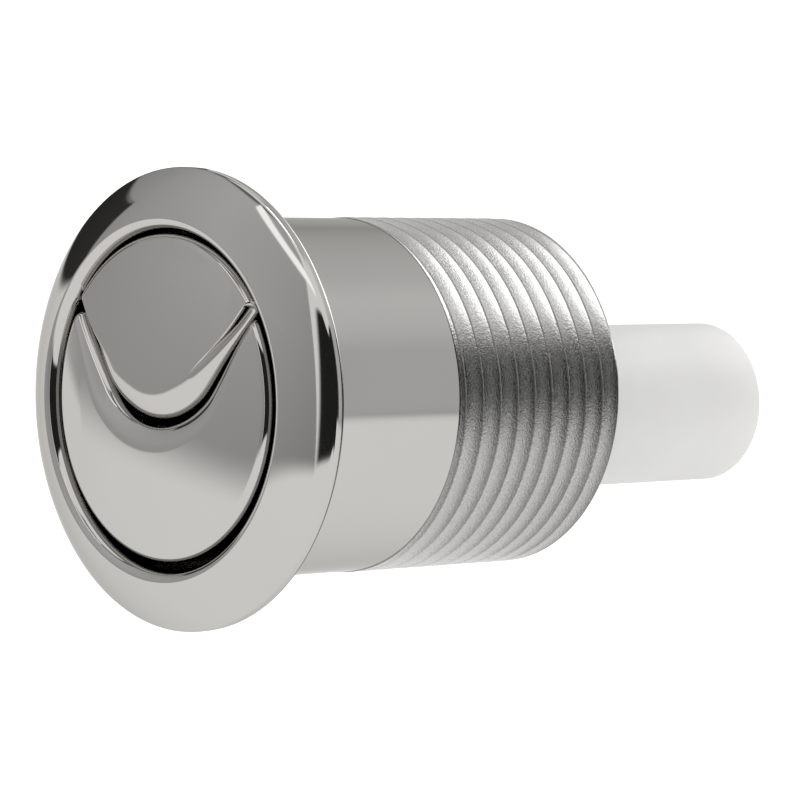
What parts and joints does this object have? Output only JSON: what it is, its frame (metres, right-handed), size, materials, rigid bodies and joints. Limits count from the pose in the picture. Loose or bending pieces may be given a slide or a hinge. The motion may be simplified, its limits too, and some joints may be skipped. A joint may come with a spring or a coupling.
{
  "type": "push button cistern actuator",
  "caption": "Round dual flush push button for a cistern lid: domed flange, threaded barrel, two caps split along a V and an offset push tube with a rod inside it",
  "frame": {"origin": "centre of the barrel at the flange's flat underside, where the flange sits on the cistern lid", "axes": "+Z along the barrel's axis, out of the lid through the caps; +Y towards the half flush cap; +X to the right seen from the front with +Y up"},
  "size_m": [0.048, 0.048, 0.0838],
  "materials": {
    "body_plating": "polished chrome plating on moulded plastic, satin on the thread",
    "cap_plating": "polished chrome plating on moulded plastic",
    "tube_plastic": "natural white, faintly translucent",
    "inner_plastic": "white moulded plastic",
    "spring_steel": "drawn wire",
    "screw_steel": "zinc plated"
  },
  "bodies": {
    "body": {"threaded_body": "body_plating", "guide_insert": "inner_plastic", "retaining_ring": "spring_steel", "full_return_spring": "spring_steel", "half_return_spring_left": "spring_steel", "half_return_spring_right": "spring_steel"},
    "half_flush": {"half_flush_cap": "cap_plating", "half_plunger": "inner_plastic", "half_push_rod": "tube_plastic", "half_cap_screws": "screw_steel"},
    "full_flush": {"full_flush_cap": "cap_plating", "full_plunger": "inner_plastic", "push_tube": "tube_plastic", "full_cap_screws": "screw_steel"}
  },
  "joints": [
    {"name": "half_flush_slide", "type": "slide", "parent": "body", "child": "half_flush", "axis": [0, 0, -1], "range_m": [0, 0.0065], "stiffness_N_per_m": 300, "springref_m": -0.01, "deforming": ["half_return_spring_left", "half_return_spring_right"]},
    {"name": "full_flush_slide", "type": "slide", "parent": "body", "child": "full_flush", "axis": [0, 0, -1], "range_m": [0, 0.0065], "stiffness_N_per_m": 400, "springref_m": -0.01, "deforming": ["full_return_spring"]}
  ]
}
